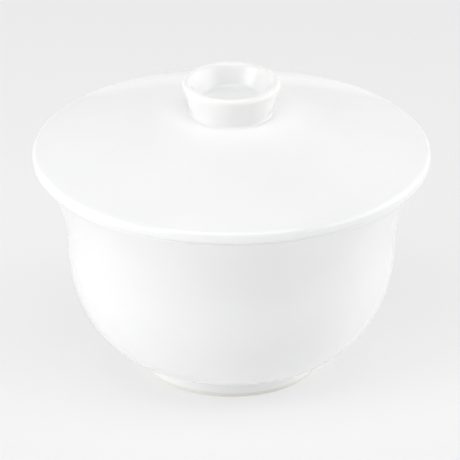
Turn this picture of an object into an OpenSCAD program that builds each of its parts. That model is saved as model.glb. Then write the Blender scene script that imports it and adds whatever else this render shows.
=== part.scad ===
// Lidded rice bowl in white porcelain: a bowl with a full belly and a flared rim on a turned foot,
// and a low domed lid with a cupped knob, which drops into the bowl's mouth on a locating flange.
// Millimetres, +Z up, origin at the centre of the plane that the foot rests on.
// Every piece is turned about Z, so each one is a profile of radius and height, swept round once.

/* [Foot] */
// Outer diameter of the foot ring
foot_d = 65.6; // [56:0.2:76]
// Height of the foot ring
foot_h = 6.5; // [3:0.1:10]
// Width of the foot ring's wall
foot_w = 4.8; // [3.5:0.1:8]
// Rounding of the foot ring's two lower edges
foot_edge_r = 0.9; // [0.4:0.1:1.5]

/* [Bowl] */
// Outer diameter at the waist, where the belly ends and the flare starts
waist_d = 124.8; // [108:0.2:140]
// Height of the belly, from the top of the foot to the waist
belly_h = 43.9; // [36:0.1:54]
// How far inside the foot's outer edge the belly's curve bottoms out
belly_tuck = 4.6; // [2:0.1:12]
// Height of the flare, from the waist to the rim
flare_h = 34.5; // [26:0.1:42]
// How far the rim stands out past the waist
flare_out = 12.4; // [7:0.1:16]
// Thickness of the side wall
wall = 4; // [3.2:0.1:5.5]
// Thickness of the floor
floor_t = 4.8; // [3.5:0.1:7]
// Rounding of the rim's outer edge
rim_out_r = 1; // [0.5:0.1:1.3]
// Rounding of the rim's inner edge
rim_in_r = 1.6; // [0.6:0.1:2]

/* [Lid] */
// How far the lid's edge stands out past the rim
lid_over = 1.2; // [0.4:0.1:6]
// Thickness of the lid's edge, whose upper half is a quarter round
lid_edge_t = 5; // [4.2:0.1:7]
// Rounding of the lid's lower edge
lid_under_r = 1.2; // [0.4:0.1:2]
// Height from the lid's seat on the rim to the flat land under the knob
lid_rise = 20.4; // [16:0.1:28]
// Radius of the dome's slight bulge, between the land and the edge
dome_r = 390; // [260:10:600]
// Thickness of the dome
lid_t = 4.2; // [3:0.1:5.4]
// Rounding inside the lid, where the dome turns down to the flange
hollow_edge_r = 3; // [1:0.2:4]

/* [Flange] */
// Depth of the locating flange below the lid's seat
flange_h = 5.5; // [3.5:0.1:9]
// Width of the flange's wall
flange_w = 3.4; // [2.8:0.1:5]
// Gap all round between the flange's lower edge and the bowl's inner wall
flange_gap = 1.3; // [0.8:0.1:3]
// Rounding of the flange's two lower edges
flange_edge_r = 1.2; // [0.4:0.1:1.3]

/* [Knob] */
// Diameter of the knob where it stands on the lid
knob_base_d = 30.8; // [26:0.2:40]
// Height of the knob
knob_h = 12.8; // [10:0.1:18]
// How far the knob's rim stands out past its base
knob_out = 3.3; // [1.5:0.1:5]
// Thickness of the knob's rounded rim
knob_rim_t = 3.2; // [2.4:0.1:5]
// Depth of the recess in the top of the knob
recess_h = 8.2; // [5:0.1:9.5]
// Diameter of the recess where its sloping wall meets its floor
recess_floor_d = 22.6; // [16:0.2:25]
// Rounding between the recess's wall and its floor
recess_corner_r = 3; // [1:0.1:4]

/* [Hidden] */
$fn = 180;

// Straight steps that stand in for a long curve of a profile, and for a small rounded edge
curve_steps = 32;
edge_steps = 10;

// Colours
glaze_white = [0.96, 0.96, 0.95];
foot_white = [0.92, 0.91, 0.88];

// Heights and radii of the bowl's outside
foot_r = foot_d / 2;
foot_in_r = foot_r - foot_w;
waist_r = waist_d / 2;
waist_z = foot_h + belly_h;
rim_r = waist_r + flare_out;
rim_z = waist_z + flare_h;

// The belly is a quarter of an ellipse, upright at the waist, that passes through the top of the foot
belly_c = [foot_r - belly_tuck, waist_z];
belly_a = waist_r - belly_c.x;
belly_start = -acos(belly_tuck / belly_a);
belly_b = -belly_h / sin(belly_start);

// The flare is an arc about a point outside the bowl, upright at the waist, that ends at the rim
flare_r = (pow(flare_out, 2) + pow(flare_h, 2)) / (2 * flare_out);
flare_c = [waist_r + flare_r, waist_z];

// Centres of the rim's two roundings, each touching the flat top and one face of the flared wall
rim_out_c = [flare_x(flare_r + rim_out_r, rim_z - rim_out_r), rim_z - rim_out_r];
rim_in_c = [flare_x(flare_r + wall - rim_in_r, rim_z - rim_in_r), rim_z - rim_in_r];

// The inside of the bowl, down to its flat floor
inner_a = belly_a - wall;
inner_b = belly_h - floor_t;
floor_z = foot_h + floor_t;

// The lid's edge stands on the rim's plane, with one rounding above and a smaller one below
lid_r = rim_r + lid_over;
lid_edge_r = lid_edge_t / 2;
lid_edge_c = [lid_r - lid_edge_r, rim_z + lid_edge_r];
lid_under_c = [lid_r - lid_under_r, rim_z + lid_under_r];

// The dome is an arc from the edge of the knob's land that runs smoothly into the rounded edge
land = [knob_base_d / 2, rim_z + lid_rise];
dome_c = touching_centre(land, lid_edge_c, dome_r, dome_r - lid_edge_r);

// The flange goes down inside the bowl's mouth, clear of the wall by the gap
flange_z = rim_z - flange_h;
flange_r = flare_x(flare_r + wall, flange_z) - flange_gap;
flange_in_r = flange_r - flange_w;

// The hollow under the dome, flat under the land and rounded where it turns down to the flange
hollow_r = dome_r - lid_t;
hollow_z = land.y - lid_t;
hollow_edge_x = flange_in_r - hollow_edge_r;
hollow_edge_c = [hollow_edge_x, dome_c.y + leg(hollow_r - hollow_edge_r, hollow_edge_x - dome_c.x)];

// The knob's rim is round, and its outer side and its recess's wall run straight up to that rim
knob_rim_r = knob_rim_t / 2;
knob_rim_c = land + [knob_out - knob_rim_r, knob_h - knob_rim_r];
knob_taper = bearing(land, knob_rim_c) - asin(knob_rim_r / norm(knob_rim_c - land));
recess_foot = [recess_floor_d / 2, land.y + knob_h - recess_h];
recess_slope = bearing(recess_foot, knob_rim_c) + asin(knob_rim_r / norm(knob_rim_c - recess_foot));
recess_corner_c = recess_foot + recess_corner_r * [-tan(recess_slope / 2), 1];

// The other short side of a right triangle with this long side and one short side
function leg(long_side, short_side) = sqrt(pow(long_side, 2) - pow(short_side, 2));

// Angle of the line from one point to another
function bearing(from, to) = atan2(to.y - from.y, to.x - from.x);

// Radius from the axis, at height z, of the circle of radius r about the flare's centre
function flare_x(r, z) = flare_c.x - leg(r, z - flare_c.y);

// The point below two others that lies at the distance r0 from the left one and r1 from the right one
function touching_centre(p0, p1, r0, r1) =
    let (gap = norm(p1 - p0))
    let (along = (pow(gap, 2) + pow(r0, 2) - pow(r1, 2)) / (2 * gap))
    let (way = (p1 - p0) / gap)
    p0 + along * way + leg(r0, along) * [way.y, -way.x];

// Points on an arc of an ellipse with half-axes a and b about c, without the first one
function ellipse_arc(c, a, b, from, to, steps) = [
    for (i = [1 : steps])
        let (t = from + (to - from) * i / steps)
        c + [a * cos(t), b * sin(t)]
];

// The same on a circle
function arc(c, r, from, to, steps) = ellipse_arc(c, r, r, from, to, steps);

// Profile of a ring from z0 up to z1 whose two lower edges are rounded by r
function ring_profile(in_r, out_r, z0, z1, r) = concat(
    [[in_r, z1], [in_r, z0 + r]],
    arc([in_r + r, z0 + r], r, 180, 270, edge_steps),
    [[out_r - r, z0]],
    arc([out_r - r, z0 + r], r, 270, 360, edge_steps),
    [[out_r, z1]]
);

// Sweeps a profile once round the axis
module turned(profile) {
    rotate_extrude()
        polygon(profile);
}

// The bowl without its foot: flat underneath, belly, flare, rounded rim, and the inside down to the floor
module bowl_body() {
    out_turn = bearing(rim_out_c, flare_c);
    in_turn = bearing(rim_in_c, flare_c);
    color(glaze_white)
        turned(concat(
            [[0, foot_h], [foot_r, foot_h]],
            ellipse_arc(belly_c, belly_a, belly_b, belly_start, 0, curve_steps),
            arc(flare_c, flare_r, 180, 180 + out_turn, curve_steps),
            arc(rim_out_c, rim_out_r, out_turn, 90, edge_steps),
            [[rim_in_c.x, rim_z]],
            arc(rim_in_c, rim_in_r, 90, 180 + in_turn, edge_steps),
            arc(flare_c, flare_r + wall, 180 + in_turn, 180, curve_steps),
            ellipse_arc(belly_c, inner_a, inner_b, 0, -90, curve_steps),
            [[0, floor_z]]
        ));
}

// The ring that the bowl stands on, joined to the flat under the belly
module foot_ring() {
    color(foot_white)
        turned(ring_profile(foot_in_r, foot_r, 0, foot_h, foot_edge_r));
}

// The lid's dome, with its thick edge and the flat seat that rests on the rim
module lid_cover() {
    edge_turn = bearing(dome_c, lid_edge_c);
    hollow_turn = bearing(dome_c, hollow_edge_c);
    hollow_end = asin((hollow_z - dome_c.y) / hollow_r);
    color(glaze_white)
        turned(concat(
            [[0, land.y], land],
            arc(dome_c, dome_r, bearing(dome_c, land), edge_turn, curve_steps),
            arc(lid_edge_c, lid_edge_r, edge_turn, 0, edge_steps),
            [[lid_r, lid_under_c.y]],
            arc(lid_under_c, lid_under_r, 0, -90, edge_steps),
            [[flange_in_r, rim_z], hollow_edge_c + [hollow_edge_r, 0]],
            arc(hollow_edge_c, hollow_edge_r, 0, hollow_turn, edge_steps),
            arc(dome_c, hollow_r, hollow_turn, hollow_end, curve_steps),
            [[0, hollow_z]]
        ));
}

// The locating ring under the lid, which keeps it centred in the bowl's mouth
module lid_flange() {
    color(glaze_white)
        turned(ring_profile(flange_in_r, flange_r, flange_z, rim_z, flange_edge_r));
}

// The knob: a small cup that widens to a round rim, with a recess in its top that narrows to a flat floor
module lid_knob() {
    color(glaze_white)
        turned(concat(
            [[0, land.y], land],
            [knob_rim_c + knob_rim_r * [sin(knob_taper), -cos(knob_taper)]],
            arc(knob_rim_c, knob_rim_r, knob_taper - 90, 90 + recess_slope, curve_steps),
            arc(recess_corner_c, recess_corner_r, recess_slope - 90, -90, edge_steps),
            [[0, recess_foot.y]]
        ));
}

bowl_body();
foot_ring();
lid_cover();
lid_flange();
lid_knob();
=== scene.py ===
"""Looks of a white porcelain rice bowl with a domed lid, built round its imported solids.

Metres, +Z up, in the frame of the solids. Every piece is turned: a profile of radius and height, swept
round the axis once, with a rounding of glaze where one piece is luted to the next.
"""

import math

import bpy
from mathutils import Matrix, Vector


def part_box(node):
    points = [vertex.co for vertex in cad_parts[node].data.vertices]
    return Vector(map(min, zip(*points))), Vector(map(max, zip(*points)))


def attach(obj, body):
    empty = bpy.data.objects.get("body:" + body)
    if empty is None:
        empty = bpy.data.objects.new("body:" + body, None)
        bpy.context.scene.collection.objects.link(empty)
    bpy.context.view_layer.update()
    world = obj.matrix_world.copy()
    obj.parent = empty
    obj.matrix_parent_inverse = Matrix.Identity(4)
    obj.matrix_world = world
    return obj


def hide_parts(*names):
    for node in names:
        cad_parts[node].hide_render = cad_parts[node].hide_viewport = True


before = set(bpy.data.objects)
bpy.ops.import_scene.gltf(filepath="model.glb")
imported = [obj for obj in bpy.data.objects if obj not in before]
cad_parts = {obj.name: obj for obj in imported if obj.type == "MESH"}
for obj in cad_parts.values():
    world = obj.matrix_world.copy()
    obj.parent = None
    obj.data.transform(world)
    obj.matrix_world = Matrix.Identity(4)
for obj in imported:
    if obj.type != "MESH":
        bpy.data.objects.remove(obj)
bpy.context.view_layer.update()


def turned_size(node):
    """Radius, lowest height and highest height of a turned node of the frame."""
    low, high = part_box(node)
    return high.x, low.z, high.z


# Sizes read from the frame
FOOT_R, FOOT_Z, FOOT_TOP = turned_size("foot_ring")
_, _, RIM_Z = turned_size("bowl_body")
LID_R, SEAT_Z, LAND_Z = turned_size("lid_cover")
FLANGE_R, FLANGE_Z, _ = turned_size("lid_flange")
KNOB_R, _, KNOB_TOP = turned_size("lid_knob")

# Sizes of the bowl
FOOT_W = 0.0048
FOOT_EDGE_R = 0.0009
WAIST_R = 0.0624
WAIST_Z = 0.0504
BELLY_TUCK = 0.0046
FLARE_OUT = 0.0124
WALL = 0.004
FLOOR_T = 0.0048
RIM_OUT_R = 0.001
RIM_IN_R = 0.0016

# Sizes of the lid
LID_EDGE_R = 0.0025
LID_UNDER_R = 0.0012
DOME_R = 0.39
LID_T = 0.0042
HOLLOW_EDGE_R = 0.003
FLANGE_W = 0.0034
FLANGE_EDGE_R = 0.0012
KNOB_BASE_R = 0.0154
KNOB_RIM_R = 0.0016
RECESS_H = 0.0082
RECESS_FLOOR_R = 0.0113
RECESS_CORNER_R = 0.003

# Radius of the glaze where two pieces are luted together, and how deep a piece is let into the next
FOOT_GLAZE_R = 0.0021
FOOT_INNER_GLAZE_R = 0.0014
KNOB_GLAZE_R = 0.0009
FLANGE_GLAZE_R = 0.0008
LET_IN = 0.0006

# How far that glaze stands proud of the piece that it runs out on
GLAZE_PROUD = 0.00002

# The foot's glaze: its thickness, and the height, wander and softness of the line where it ends
GLAZE_T = 0.00013
GLAZE_END_Z = 0.0016
GLAZE_END_WANDER = 0.00022
GLAZE_END_SOFT = 0.00012

# How far the kiln draws the rim and the lid's edge in from a true circle
BOWL_WARP = 0.00012
LID_WARP = 0.00010

# Waves round the axis, each a share of the whole, a number of crests and a turn: those of the warped
# bowl, of the warped lid, and of the line where the foot's glaze ends
BOWL_WAVES = ((0.65, 2, 0.7), (0.35, 3, -1.1))
LID_WAVES = ((0.6, 2, -0.4), (0.4, 3, 2.0))
GLAZE_END_WAVES = ((0.5, 3, 0.4 - math.pi / 2), (0.3, 7, 2.1 - math.pi / 2), (0.2, 13, -math.pi / 2))

# How far along a profile the glaze runs from edges and gathers in corners
GLAZE_REACH = 0.0016

# Fineness of the meshes: steps round the axis, the longest step along a profile and the fewest in an arc
TURN_STEPS = 192
PROFILE_STEP = 0.0011
EDGE_STEPS = 12

# Length of the belly's curve as a share of its ellipse's half-width, for its number of steps
BELLY_LENGTH_SHARE = 1.8

# A profile that turns by more than this at one point has a sharp edge there
SHARP_TURN = math.radians(35)

# Points nearer to each other than this are one point, and a step may be too long by this share
SAME_POINT = 1e-7
STEP_SLACK_SHARE = 1e-6

# How often a root's range is halved
ROOT_HALVINGS = 60


def polar(centre, radius, angle):
    """The point at that angle on a circle about centre."""
    return centre + radius * Vector((math.cos(angle), math.sin(angle)))


def ellipse_arc(centre, a, b, start, end, steps):
    """Points on an arc of an ellipse with half-axes a and b."""
    turns = [start + (end - start) * i / steps for i in range(steps + 1)]
    return [centre + Vector((a * math.cos(t), b * math.sin(t))) for t in turns]


def arc(centre, radius, start, end):
    """Points on an arc of a circle, with as many steps as its length needs."""
    length = abs(end - start) * radius
    steps = max(EDGE_STEPS, math.ceil(length / PROFILE_STEP))
    return ellipse_arc(centre, radius, radius, start, end, steps)


def bearing(start, end):
    """Angle of the line from one point to another."""
    return math.atan2(end.y - start.y, end.x - start.x)


def leg(long_side, short_side):
    """The other short side of a right triangle."""
    return math.sqrt(long_side**2 - short_side**2)


def root(miss, low, high):
    """The value between low and high where miss, which rises, is zero."""
    for _ in range(ROOT_HALVINGS):
        middle = (low + high) / 2
        if miss(middle) < 0:
            low = middle
        else:
            high = middle
    return (low + high) / 2


def waves(table, angle):
    """The sum of a table's waves at that angle, from -1 to 1."""
    return sum(share * math.cos(crests * angle + turn) for share, crests, turn in table)


def filled(points, closed):
    """The same outline without doubled points, and with its long straight steps divided."""
    ends = points[1:] + points[:1] if closed else points[1:]
    out = []
    for start, end in zip(points, ends):
        gap = (end - start).length
        if gap < SAME_POINT:
            continue
        steps = math.ceil(gap / PROFILE_STEP - STEP_SLACK_SHARE)
        out += [start.lerp(end, i / steps) for i in range(steps)]
    return out if closed else out + [points[-1]]


def corner_turns(points, closed):
    """How far the outline turns at each point: positive round an edge, negative in a corner."""
    turns = []
    for i, here in enumerate(points):
        if not closed and i in (0, len(points) - 1):
            turns.append(0.0)
            continue
        before = here - points[i - 1]
        after = points[(i + 1) % len(points)] - here
        turns.append(math.atan2(before.x * after.y - before.y * after.x, before.dot(after)))
    return turns


def glaze_depths(points, turns, closed):
    """From -1, where the glaze runs thin over an edge, to 1, where it gathers in a corner."""
    gaps = [(b - a).length for a, b in zip(points, points[1:] + points[:1])]
    round_trip = sum(gaps)
    along = [sum(gaps[:i]) for i in range(len(points))]
    depths = []
    for here in along:
        total = 0.0
        for there, turn in zip(along, turns):
            gap = abs(here - there)
            gap = min(gap, round_trip - gap) if closed else gap
            total -= turn * math.exp(-((gap / GLAZE_REACH) ** 2))
        depths.append(max(-1.0, min(1.0, total / (math.pi / 2))))
    return depths


def bowl_warp(radius, height, angle):
    """The kiln's draw on the bowl: none at the foot, most at the rim."""
    share = max(0.0, (height - FOOT_TOP) / (RIM_Z - FOOT_TOP))
    return BOWL_WARP * share * (1 + waves(BOWL_WAVES, angle)) / 2


def lid_warp(radius, height, angle):
    """The kiln's draw on the lid: none at the knob, most at the edge."""
    share = max(0.0, (radius - KNOB_R) / (LID_R - KNOB_R))
    return LID_WARP * share * (1 + waves(LID_WAVES, angle)) / 2


def bare_share(height, angle):
    """1 on the foot's bare clay and 0 on its glaze, which ends in a line that wanders round the foot."""
    end_z = FOOT_Z + GLAZE_END_Z + GLAZE_END_WANDER * waves(GLAZE_END_WAVES, angle)
    share = max(0.0, min(1.0, (1 + (end_z - height) / GLAZE_END_SOFT) / 2))
    return share * share * (3 - 2 * share)


def foot_warp(radius, height, angle):
    """The step down from the glaze to the bare clay, on the outside and on the inside of the foot."""
    side = (radius - FOOT_R) / (FOOT_W / 2) + 1
    return GLAZE_T * side * bare_share(height, angle)


def no_warp(radius, height, angle):
    """A piece that the kiln has left round."""
    return 0.0


def no_clay(height, angle):
    """A piece that is glazed all over."""
    return 0.0


def add_object(name, data):
    """An object in the scene that holds a mesh, a light or a camera."""
    obj = bpy.data.objects.new(name, data)
    bpy.context.scene.collection.objects.link(obj)
    return obj


def ring_faces(rings, closed):
    """Faces from each ring of points to the next, with triangles to a point on the axis."""
    faces = []
    for low, high in zip(rings, rings[1:] + rings[:1] if closed else rings[1:]):
        for step in range(TURN_STEPS):
            ahead = (step + 1) % TURN_STEPS
            corners = [low[step % len(low)], low[ahead % len(low)]]
            corners += [high[ahead % len(high)], high[step % len(high)]]
            faces.append(list(dict.fromkeys(corners)))
    return faces


def mark_sharp_rings(mesh, rings, turns):
    """Marks the edges along each ring where the profile turns sharply."""
    ring_of = {vert: i for i, ring in enumerate(rings) for vert in ring}
    for edge in mesh.edges:
        first, second = (ring_of[vert] for vert in edge.vertices)
        if first == second and abs(turns[first]) > SHARP_TURN:
            edge.use_edge_sharp = True


def turned(name, profile, closed=False, warp=no_warp, bare=no_clay):
    """A mesh object: the profile, anticlockwise round the solid, swept about Z.

    warp gives how far a point at that radius, height and angle is drawn in towards the axis, and bare
    how much of the clay shows at that height and angle.
    """
    points = filled(profile, closed)
    turns = corner_turns(points, closed)
    verts, rings, glaze, clay = [], [], [], []
    for point, depth in zip(points, glaze_depths(points, turns, closed)):
        on_axis = point.x < SAME_POINT
        ring = []
        for step in range(1 if on_axis else TURN_STEPS):
            angle = math.tau * step / TURN_STEPS
            radius = point.x if on_axis else point.x - warp(point.x, point.y, angle)
            ring.append(len(verts))
            verts.append((radius * math.cos(angle), radius * math.sin(angle), point.y))
            glaze.append(depth)
            clay.append(bare(point.y, angle))
        rings.append(ring)
    mesh = bpy.data.meshes.new(name)
    mesh.from_pydata(verts, [], ring_faces(rings, closed))
    mesh.shade_smooth()
    for layer, values in (("glaze_depth", glaze), ("bare", clay)):
        mesh.attributes.new(layer, "FLOAT", "POINT").data.foreach_set("value", values)
    mark_sharp_rings(mesh, rings, turns)
    mesh.validate()
    return add_object(name, mesh)


# The belly's ellipse, upright at the waist, passes through the top of the foot
BELLY_C = Vector((FOOT_R - BELLY_TUCK, WAIST_Z))
BELLY_A = WAIST_R - BELLY_C.x
BELLY_START = -math.acos(BELLY_TUCK / BELLY_A)
BELLY_B = (FOOT_TOP - WAIST_Z) / math.sin(BELLY_START)

# The flare's arc is about a point outside the bowl, upright at the waist
FLARE_H = RIM_Z - WAIST_Z
FLARE_R = (FLARE_OUT**2 + FLARE_H**2) / (2 * FLARE_OUT)
FLARE_C = Vector((WAIST_R + FLARE_R, WAIST_Z))

# The dome's arc runs smoothly into the lid's rounded edge
LAND = Vector((KNOB_BASE_R, LAND_Z))
LID_EDGE_C = Vector((LID_R - LID_EDGE_R, SEAT_Z + LID_EDGE_R))


def flare_x(radius, height):
    """Distance from the axis, at that height, of a circle about the flare's centre."""
    return FLARE_C.x - leg(radius, height - FLARE_C.y)


def dome_centre():
    """The centre of the dome's arc, far below: it touches the land and the inside of the rounded edge."""
    gap = (LID_EDGE_C - LAND).length
    inner_r = DOME_R - LID_EDGE_R
    along = (gap**2 + DOME_R**2 - inner_r**2) / (2 * gap)
    way = (LID_EDGE_C - LAND) / gap
    return LAND + along * way + leg(DOME_R, along) * Vector((way.y, -way.x))


DOME_C = dome_centre()


def belly_point(turn):
    """A point on the outside of the belly."""
    return BELLY_C + Vector((BELLY_A * math.cos(turn), BELLY_B * math.sin(turn)))


def belly_normal(turn):
    """The direction that the outside of the belly faces there."""
    return Vector((BELLY_B * math.cos(turn), BELLY_A * math.sin(turn))).normalized()


def bowl_profile():
    """The bowl without its foot: underside, belly, flare, rounded rim, inside and floor."""
    rim_out_c = Vector((flare_x(FLARE_R + RIM_OUT_R, RIM_Z - RIM_OUT_R), RIM_Z - RIM_OUT_R))
    rim_in_c = Vector((flare_x(FLARE_R + WALL - RIM_IN_R, RIM_Z - RIM_IN_R), RIM_Z - RIM_IN_R))
    out_turn = bearing(rim_out_c, FLARE_C)
    in_turn = bearing(rim_in_c, FLARE_C)
    inner_b = WAIST_Z - FOOT_TOP - FLOOR_T
    belly_steps = math.ceil(BELLY_A * BELLY_LENGTH_SHARE / PROFILE_STEP)
    profile = [Vector((0.0, FOOT_TOP)), Vector((FOOT_R, FOOT_TOP))]
    profile += ellipse_arc(BELLY_C, BELLY_A, BELLY_B, BELLY_START, 0.0, belly_steps)
    profile += arc(FLARE_C, FLARE_R, math.pi, math.pi + out_turn)
    profile += arc(rim_out_c, RIM_OUT_R, out_turn, math.pi / 2)
    profile += arc(rim_in_c, RIM_IN_R, math.pi / 2, math.pi + in_turn)
    profile += arc(FLARE_C, FLARE_R + WALL, math.pi + in_turn, math.pi)
    profile += ellipse_arc(BELLY_C, BELLY_A - WALL, inner_b, 0.0, -math.pi / 2, belly_steps)
    return profile + [Vector((0.0, FOOT_TOP + FLOOR_T))]


def foot_profile():
    """The foot ring, with a cove of glaze outside, up to the belly, and one inside, to the underside."""
    in_r = FOOT_R - FOOT_W
    edge_z = FOOT_Z + FOOT_EDGE_R
    stand_off = FOOT_GLAZE_R + GLAZE_PROUD
    turn = root(
        lambda t: (belly_point(t) + stand_off * belly_normal(t)).x - FOOT_R - FOOT_GLAZE_R,
        BELLY_START,
        0.0,
    )
    cove_c = belly_point(turn) + stand_off * belly_normal(turn)
    inner_c = Vector((in_r - FOOT_INNER_GLAZE_R, FOOT_TOP - FOOT_INNER_GLAZE_R - GLAZE_PROUD))
    reach = GLAZE_END_WANDER + 2 * GLAZE_END_SOFT
    low, high = FOOT_Z + GLAZE_END_Z - reach, FOOT_Z + GLAZE_END_Z + reach
    line_heights = [low + (high - low) * i / EDGE_STEPS for i in range(EDGE_STEPS + 1)]
    let_in_z = FOOT_TOP + LET_IN
    profile = arc(inner_c, FOOT_INNER_GLAZE_R, math.pi / 2, 0.0)
    profile += [Vector((in_r, z)) for z in reversed(line_heights)]
    profile += arc(Vector((in_r + FOOT_EDGE_R, edge_z)), FOOT_EDGE_R, math.pi, 1.5 * math.pi)
    profile += arc(Vector((FOOT_R - FOOT_EDGE_R, edge_z)), FOOT_EDGE_R, -math.pi / 2, 0.0)
    profile += [Vector((FOOT_R, z)) for z in line_heights]
    profile += arc(cove_c, FOOT_GLAZE_R, math.pi, bearing(cove_c, belly_point(turn)))
    return profile + [Vector((FOOT_R, let_in_z + LET_IN)), Vector((inner_c.x, let_in_z))]


def lid_profile():
    """The lid: land under the knob, dome, thick edge, flat seat and the hollow underneath."""
    in_r = FLANGE_R - FLANGE_W
    edge_turn = bearing(DOME_C, LID_EDGE_C)
    under_c = Vector((LID_R - LID_UNDER_R, SEAT_Z + LID_UNDER_R))
    hollow_r = DOME_R - LID_T
    hollow_z = LAND_Z - LID_T
    hollow_x = in_r - HOLLOW_EDGE_R
    hollow_c = Vector((hollow_x, DOME_C.y + leg(hollow_r - HOLLOW_EDGE_R, hollow_x - DOME_C.x)))
    hollow_turn = bearing(DOME_C, hollow_c)
    profile = [Vector((0.0, LAND_Z))]
    profile += arc(DOME_C, DOME_R, bearing(DOME_C, LAND), edge_turn)
    profile += arc(LID_EDGE_C, LID_EDGE_R, edge_turn, 0.0)
    profile += arc(under_c, LID_UNDER_R, 0.0, -math.pi / 2)
    profile += [Vector((in_r, SEAT_Z))]
    profile += arc(hollow_c, HOLLOW_EDGE_R, 0.0, hollow_turn)
    profile += arc(DOME_C, hollow_r, hollow_turn, math.asin((hollow_z - DOME_C.y) / hollow_r))
    return profile + [Vector((0.0, hollow_z))]


def flange_profile():
    """The locating ring under the lid, with a cove of glaze up to the seat."""
    in_r = FLANGE_R - FLANGE_W
    edge_z = FLANGE_Z + FLANGE_EDGE_R
    cove_c = Vector((FLANGE_R + FLANGE_GLAZE_R, SEAT_Z - FLANGE_GLAZE_R - GLAZE_PROUD))
    profile = [Vector((in_r + LET_IN, SEAT_Z + LET_IN)), Vector((in_r, SEAT_Z))]
    profile += arc(Vector((in_r + FLANGE_EDGE_R, edge_z)), FLANGE_EDGE_R, math.pi, 1.5 * math.pi)
    profile += arc(Vector((FLANGE_R - FLANGE_EDGE_R, edge_z)), FLANGE_EDGE_R, -math.pi / 2, 0.0)
    profile += arc(cove_c, FLANGE_GLAZE_R, math.pi, math.pi / 2)
    return profile + [Vector((FLANGE_R, SEAT_Z + LET_IN))]


def knob_profile():
    """The cupped knob: a cove of glaze up from the dome, tapered side, round rim and narrowing recess."""
    rim_c = Vector((KNOB_R - KNOB_RIM_R, KNOB_TOP - KNOB_RIM_R))
    taper = bearing(LAND, rim_c) - math.asin(KNOB_RIM_R / (rim_c - LAND).length)
    up = Vector((math.cos(taper), math.sin(taper)))
    out = Vector((up.y, -up.x))
    stand_off = KNOB_GLAZE_R + GLAZE_PROUD
    rise = root(
        lambda s: (LAND + s * up + KNOB_GLAZE_R * out - DOME_C).length - DOME_R - stand_off,
        0.0,
        KNOB_TOP - LAND_Z,
    )
    cove_c = LAND + rise * up + KNOB_GLAZE_R * out
    toe_turn = bearing(cove_c, DOME_C)
    toe = polar(cove_c, KNOB_GLAZE_R, toe_turn)
    recess_foot = Vector((RECESS_FLOOR_R, KNOB_TOP - RECESS_H))
    slope = bearing(recess_foot, rim_c) + math.asin(KNOB_RIM_R / (rim_c - recess_foot).length)
    corner_c = recess_foot + RECESS_CORNER_R * Vector((-math.tan(slope / 2), 1.0))
    profile = [Vector((0.0, LAND_Z - LET_IN)), toe - Vector((LET_IN, LET_IN))]
    profile += arc(cove_c, KNOB_GLAZE_R, toe_turn, taper - 1.5 * math.pi)
    profile += arc(rim_c, KNOB_RIM_R, taper - math.pi / 2, math.pi / 2 + slope)
    profile += arc(corner_c, RECESS_CORNER_R, slope - math.pi / 2, -math.pi / 2)
    return profile + [Vector((0.0, recess_foot.y))]


# Camera: where it stands, how far it sees, and which pixel of the 460 x 460 picture the origin falls on
IMAGE_PX = 460
VIEW_DISTANCE = 4.0
VIEW_REACH = 40.0
VIEW_ELEVATION = math.radians(26.1)
PX_PER_M = 2600.0
ORIGIN_COLUMN = 231.5
ORIGIN_ROW = 359.95


def look(obj, way):
    """Turns a camera or a light to look that way."""
    obj.rotation_mode = "QUATERNION"
    obj.rotation_quaternion = way.to_track_quat("-Z", "Y")


def add_camera():
    """The photograph's view: a long lens from the front, looking down on the lid."""
    data = bpy.data.cameras.new("camera")
    data.lens = data.sensor_width * PX_PER_M * VIEW_DISTANCE / IMAGE_PX
    data.clip_end = VIEW_REACH
    camera = add_object("camera", data)
    back = Vector((0.0, -math.cos(VIEW_ELEVATION), math.sin(VIEW_ELEVATION)))
    right = Vector((1.0, 0.0, 0.0))
    up = right.cross(-back)
    aim = right * (IMAGE_PX / 2 - ORIGIN_COLUMN) / PX_PER_M
    aim += up * (ORIGIN_ROW - IMAGE_PX / 2) / PX_PER_M
    camera.location = VIEW_DISTANCE * back
    look(camera, aim - camera.location)
    bpy.context.scene.camera = camera


# Sockets of a mixing node for each kind of value: its first input, its second input and its output
MIX_SOCKETS = {"FLOAT": (2, 3, 0), "VECTOR": (4, 5, 1), "RGBA": (6, 7, 2)}

# Octaves of noise that is smooth, soft or fine
SMOOTH_NOISE = 1.0
SOFT_NOISE = 2.0
FINE_NOISE = 3.0


def add_node(tree, kind, inputs, **settings):
    """A shader node, whose inputs are plain values or the outputs of other nodes."""
    node = tree.nodes.new(kind)
    for name, value in settings.items():
        setattr(node, name, value)
    for name, value in inputs.items():
        if isinstance(value, bpy.types.NodeSocket):
            tree.links.new(value, node.inputs[name])
        else:
            node.inputs[name].default_value = value
    return node


def object_place(tree):
    """The place of each point in the object's own frame."""
    return add_node(tree, "ShaderNodeTexCoord", {}).outputs["Object"]


def split_axes(tree, vector):
    """The outputs X, Y and Z of a vector."""
    return add_node(tree, "ShaderNodeSeparateXYZ", {"Vector": vector}).outputs


def noise(tree, vector, size, octaves):
    """Noise from 0 to 1 whose grains are about that size."""
    inputs = {"Vector": vector, "Scale": 1 / size, "Detail": octaves}
    return add_node(tree, "ShaderNodeTexNoise", inputs).outputs["Fac"]


def remap(tree, value, source, target=(0.0, 1.0), kind="LINEAR"):
    """The value moved from the source range to the target range, and held inside it."""
    inputs = {"Value": value, "From Min": source[0], "From Max": source[1]}
    inputs.update({"To Min": target[0], "To Max": target[1]})
    return add_node(tree, "ShaderNodeMapRange", inputs, interpolation_type=kind).outputs["Result"]


def maths(tree, operation, first, second):
    """A sum, product or the like of two values."""
    node = add_node(tree, "ShaderNodeMath", {0: first, 1: second}, operation=operation)
    return node.outputs["Value"]


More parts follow.
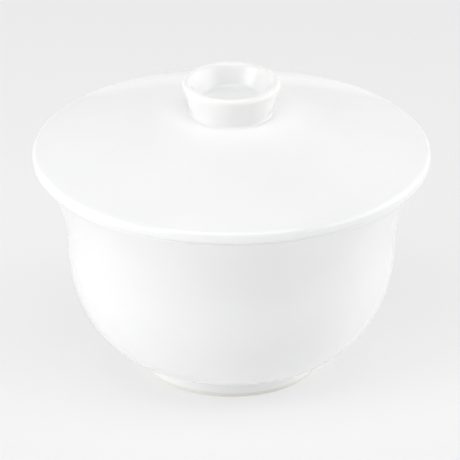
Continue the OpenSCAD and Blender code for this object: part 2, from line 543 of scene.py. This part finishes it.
def mix(tree, kind, share, first, second):
    """From the first value, where share is 0, to the second, where it is 1."""
    first_socket, second_socket, result = MIX_SOCKETS[kind]
    inputs = {0: share, first_socket: first, second_socket: second}
    return add_node(tree, "ShaderNodeMix", inputs, data_type=kind).outputs[result]


def bump(tree, height):
    """The normal of a surface that stands out by that height, in metres."""
    return add_node(tree, "ShaderNodeBump", {"Height": height, "Distance": 1.0}).outputs["Normal"]


def point_value(tree, name):
    """A value stored on the points of the mesh."""
    return add_node(tree, "ShaderNodeAttribute", {}, attribute_name=name).outputs["Fac"]


def grey(value):
    """A neutral colour."""
    return (value, value, value, 1.0)


# Colours of the porcelain: the glaze, where it is drawn thin over edges, where it has gathered, its
# rare specks, the bare clay of the standing edge and the line where the glaze ends
GLAZE_WHITE = (0.925, 0.926, 0.924, 1.0)
GLAZE_DIM = (0.905, 0.907, 0.908, 1.0)
GLAZE_THIN = (0.930, 0.925, 0.912, 1.0)
GLAZE_POOLED = (0.902, 0.910, 0.914, 1.0)
SPECK_COLOUR = (0.600, 0.580, 0.550, 1.0)
BARE_CLAY = (0.825, 0.808, 0.775, 1.0)
GLAZE_END_COLOUR = (0.740, 0.685, 0.605, 1.0)

# Sizes of the glaze's detail: clouds of tone, patches of gloss, ripples, turning lines, the spacing and
# radius of specks, and the clay's grain
CLOUD_SIZE = 0.035
GLOSS_SIZE = CLOUD_SIZE / 3
RIPPLE_SIZE = 0.0045
RIPPLE_HEIGHT = 0.000012
LINE_SIZE = 0.0026
LINE_HEIGHT = 0.000004
SPECK_SPACING = 0.009
SPECK_R = 0.0002
CLAY_GRAIN = 0.0004
CLAY_GRAIN_HEIGHT = 0.000012

# Ranges of noise that go from one end of a finish to the other
CLOUD_RANGE = (0.35, 0.65)
GRAIN_RANGE = (0.3, 0.7)

# Ranges of glaze depth from even glaze to the thinnest and to the deepest
THIN_RANGE = (-0.1, -0.9)
POOLED_RANGE = (0.1, 0.9)

# Roughness of the glaze and of the clay
GLAZE_ROUGHNESS = (0.08, 0.14)
CLAY_ROUGHNESS = (0.55, 0.75)

# Strength of a speck, and the share of its radius that has it all
SPECK_STRENGTH = 0.5
SPECK_CORE_SHARE = 0.5

# How much tan there is at most in the clay's grain and in the line where the glaze ends
CLAY_TAN = 0.25
LINE_TAN = 0.6

# The share of clay times the share of glaze in the middle of that line, where both are a half
LINE_PEAK = 0.25

# How much light goes into the porcelain, how deep, and the shares of that depth for red, green and blue
SUBSURFACE_SHARE = 0.15
SUBSURFACE_DEPTH = 0.0012
SUBSURFACE_RGB_SHARES = (1.0, 1.0, 1.0)


def turning_place(tree, place):
    """Radius and height of each point, so that a texture there runs in rings round the axis."""
    axes = split_axes(tree, place)
    flat = add_node(tree, "ShaderNodeCombineXYZ", {"X": axes["X"], "Y": axes["Y"]})
    radius = add_node(tree, "ShaderNodeVectorMath", {0: flat.outputs["Vector"]}, operation="LENGTH")
    ring = {"X": radius.outputs["Value"], "Y": axes["Z"]}
    return add_node(tree, "ShaderNodeCombineXYZ", ring).outputs["Vector"]


def speck_share(tree, place):
    """How much of each point is a speck."""
    inputs = {"Vector": place, "Scale": 1 / SPECK_SPACING}
    gap = add_node(tree, "ShaderNodeTexVoronoi", inputs).outputs["Distance"]
    edge = SPECK_R / SPECK_SPACING
    return remap(tree, gap, (edge, SPECK_CORE_SHARE * edge), (0.0, SPECK_STRENGTH))


def glaze_parts(tree):
    """Colour, roughness and normal of the clear glaze over white porcelain."""
    place = object_place(tree)
    depth = point_value(tree, "glaze_depth")
    cloud = remap(tree, noise(tree, place, CLOUD_SIZE, SOFT_NOISE), CLOUD_RANGE)
    colour = mix(tree, "RGBA", cloud, GLAZE_WHITE, GLAZE_DIM)
    colour = mix(tree, "RGBA", remap(tree, depth, THIN_RANGE), colour, GLAZE_THIN)
    colour = mix(tree, "RGBA", remap(tree, depth, POOLED_RANGE), colour, GLAZE_POOLED)
    colour = mix(tree, "RGBA", speck_share(tree, place), colour, SPECK_COLOUR)
    gloss = noise(tree, place, GLOSS_SIZE, SOFT_NOISE)
    roughness = remap(tree, gloss, GRAIN_RANGE, GLAZE_ROUGHNESS)
    ripple = noise(tree, place, RIPPLE_SIZE, SMOOTH_NOISE)
    line = noise(tree, turning_place(tree, place), LINE_SIZE, SMOOTH_NOISE)
    ripple_height = maths(tree, "MULTIPLY", ripple, RIPPLE_HEIGHT)
    line_height = maths(tree, "MULTIPLY", line, LINE_HEIGHT)
    return colour, roughness, bump(tree, maths(tree, "ADD", ripple_height, line_height))


def clay_parts(tree):
    """Colour, roughness and normal of the bare, smoothed clay."""
    grain = noise(tree, object_place(tree), CLAY_GRAIN, FINE_NOISE)
    grain_tan = remap(tree, grain, GRAIN_RANGE, (0.0, CLAY_TAN))
    colour = mix(tree, "RGBA", grain_tan, BARE_CLAY, GLAZE_END_COLOUR)
    roughness = remap(tree, grain, GRAIN_RANGE, CLAY_ROUGHNESS)
    return colour, roughness, bump(tree, maths(tree, "MULTIPLY", grain, CLAY_GRAIN_HEIGHT))


def new_material(name):
    """A material with its node tree and its shader."""
    material = bpy.data.materials.new(name)
    material.use_nodes = True
    return material, material.node_tree, material.node_tree.nodes["Principled BSDF"]


def finish_material(tree, shader, colour, roughness, normal):
    """Joins the parts of a finish to its shader."""
    tree.links.new(colour, shader.inputs["Base Color"])
    tree.links.new(roughness, shader.inputs["Roughness"])
    tree.links.new(normal, shader.inputs["Normal"])
    shader.inputs["Subsurface Weight"].default_value = SUBSURFACE_SHARE
    shader.inputs["Subsurface Radius"].default_value = SUBSURFACE_RGB_SHARES
    shader.inputs["Subsurface Scale"].default_value = SUBSURFACE_DEPTH


def porcelain_glaze():
    """White porcelain under a clear, glossy glaze."""
    material, tree, shader = new_material("porcelain_glaze")
    finish_material(tree, shader, *glaze_parts(tree))
    return material


def foot_porcelain():
    """The same glaze, down to a line above the standing edge, which is bare, smoothed clay."""
    material, tree, shader = new_material("foot_porcelain")
    colour, roughness, normal = glaze_parts(tree)
    clay_colour, clay_roughness, clay_normal = clay_parts(tree)
    bare = point_value(tree, "bare")
    near_line = maths(tree, "MULTIPLY", bare, maths(tree, "SUBTRACT", 1.0, bare))
    line_tan = remap(tree, near_line, (0.0, LINE_PEAK), (0.0, LINE_TAN))
    colour = mix(tree, "RGBA", bare, colour, clay_colour)
    colour = mix(tree, "RGBA", line_tan, colour, GLAZE_END_COLOUR)
    roughness = mix(tree, "FLOAT", bare, roughness, clay_roughness)
    normal = mix(tree, "VECTOR", bare, normal, clay_normal)
    finish_material(tree, shader, colour, roughness, normal)
    return material


# The floor: its width, and the size, tones and roughness of its tooth
FLOOR_SIZE = 8.0
FLOOR_TOOTH = 0.002
FLOOR_TONES = (0.34, 0.36)
FLOOR_ROUGHNESS = (0.85, 0.95)

# Painted light: the floor's own glow, even round the bowl and growing between these two distances towards
# the far end, stands in for light falling on a paper sweep
PAINTED_FLOOR_GLOW = 0.53
PAINTED_FAR_GLOW = 0.85
FAR_RANGE = (0.35, 0.90)


def floor_paper():
    """Matt paper with a faint tooth and a painted glow of light, brighter towards the far end."""
    material, tree, shader = new_material("floor")
    place = object_place(tree)
    tooth = noise(tree, place, FLOOR_TOOTH, FINE_NOISE)
    dim, pale = FLOOR_TONES
    colour = mix(tree, "RGBA", tooth, grey(dim), grey(pale))
    # Painted light: the floor glows by itself, evenly near the bowl and more towards the far end
    painted_glow = remap(tree, split_axes(tree, place)["Y"], FAR_RANGE, (PAINTED_FLOOR_GLOW, PAINTED_FAR_GLOW), "SMOOTHSTEP")
    tree.links.new(colour, shader.inputs["Base Color"])
    tree.links.new(remap(tree, tooth, (0.0, 1.0), FLOOR_ROUGHNESS), shader.inputs["Roughness"])
    tree.links.new(painted_glow, shader.inputs["Emission Strength"])
    shader.inputs["Emission Color"].default_value = grey(1.0)
    return material


def add_floor():
    """A wide pale floor under the foot."""
    half = FLOOR_SIZE / 2
    corners = [(-half, -half, 0.0), (half, -half, 0.0), (half, half, 0.0), (-half, half, 0.0)]
    mesh = bpy.data.meshes.new("floor")
    mesh.from_pydata(corners, [], [(0, 1, 2, 3)])
    mesh.materials.append(floor_paper())
    floor = add_object("floor", mesh)


# The room's light: its strength on the right and at the back, and the ranges of X and Y, in a direction
# of length 1, over which it grows to that
ROOM_RIGHT = 1.55
ROOM_BACK = 0.86
RIGHT_RANGE = (0.55, 1.0)
BACK_RANGE = (0.1, 0.9)


def add_room():
    """A pale room, dark behind the camera and smoothly brighter on its right and at its back."""
    world = bpy.data.worlds.new("studio")
    world.use_nodes = True
    tree = world.node_tree
    background = tree.nodes["Background"]
    axes = split_axes(tree, add_node(tree, "ShaderNodeTexCoord", {}).outputs["Generated"])
    right = remap(tree, axes["X"], RIGHT_RANGE, (0.0, ROOM_RIGHT), "SMOOTHSTEP")
    back = remap(tree, axes["Y"], BACK_RANGE, (0.0, ROOM_BACK), "SMOOTHSTEP")
    tree.links.new(maths(tree, "ADD", right, back), background.inputs["Strength"])
    background.inputs["Color"].default_value = grey(1.0)
    bpy.context.scene.world = world


def add_panel(name, azimuth, distance, height, size, tilt, power):
    """A soft panel of light: azimuth 0 is the camera's side, and 90 is to its right.

    height is that of its middle, size its width and height, and tilt how far it leans over the object.
    """
    data = bpy.data.lights.new(name, "AREA")
    data.shape = "RECTANGLE"
    data.size, data.size_y = size
    data.energy = power
    light = add_object(name, data)
    turn = math.radians(azimuth)
    lean = math.radians(tilt)
    out = Vector((math.sin(turn), -math.cos(turn), 0.0))
    light.location = distance * out + Vector((0.0, 0.0, height))
    look(light, -math.cos(lean) * out - Vector((0.0, 0.0, math.sin(lean))))
    light.visible_camera = False


def add_lights():
    """Soft studio light: a key on the left, a panel on each side, one high in front and one overhead."""
    add_room()
    add_panel("key", azimuth=-57.0, distance=1.1, height=0.45, size=(0.9, 0.9), tilt=0.0, power=6.9)
    add_panel("left_side", azimuth=-85.0, distance=1.0, height=0.45, size=(1.3, 0.9), tilt=0.0, power=2.5)
    add_panel("right_side", azimuth=86.0, distance=1.0, height=0.45, size=(1.3, 0.9), tilt=0.0, power=3.5)
    add_panel("front_high", azimuth=0.0, distance=0.5, height=1.2, size=(1.2, 0.8), tilt=68.0, power=8.0)
    add_panel("overhead", azimuth=0.0, distance=0.0, height=1.3, size=(1.3, 1.3), tilt=90.0, power=1.5)


def dress(obj, body, node, material):
    """Gives a piece its finish and hands it to the frame in place of its solid."""
    obj.data.materials.append(material)
    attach(obj, body)
    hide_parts(node)


add_camera()
glaze = porcelain_glaze()
bowl = turned("bowl_shell", bowl_profile(), warp=bowl_warp)
foot = turned("standing_foot", foot_profile(), closed=True, warp=foot_warp, bare=bare_share)
lid = turned("lid_dome", lid_profile(), warp=lid_warp)
collar = turned("lid_collar", flange_profile(), closed=True)
knob = turned("cupped_knob", knob_profile())
dress(bowl, "bowl", "bowl_body", glaze)
dress(foot, "bowl", "foot_ring", foot_porcelain())
dress(lid, "lid", "lid_cover", glaze)
dress(collar, "lid", "lid_flange", glaze)
dress(knob, "lid", "lid_knob", glaze)
add_floor()
add_lights()
bpy.context.scene.view_settings.view_transform = "Standard"
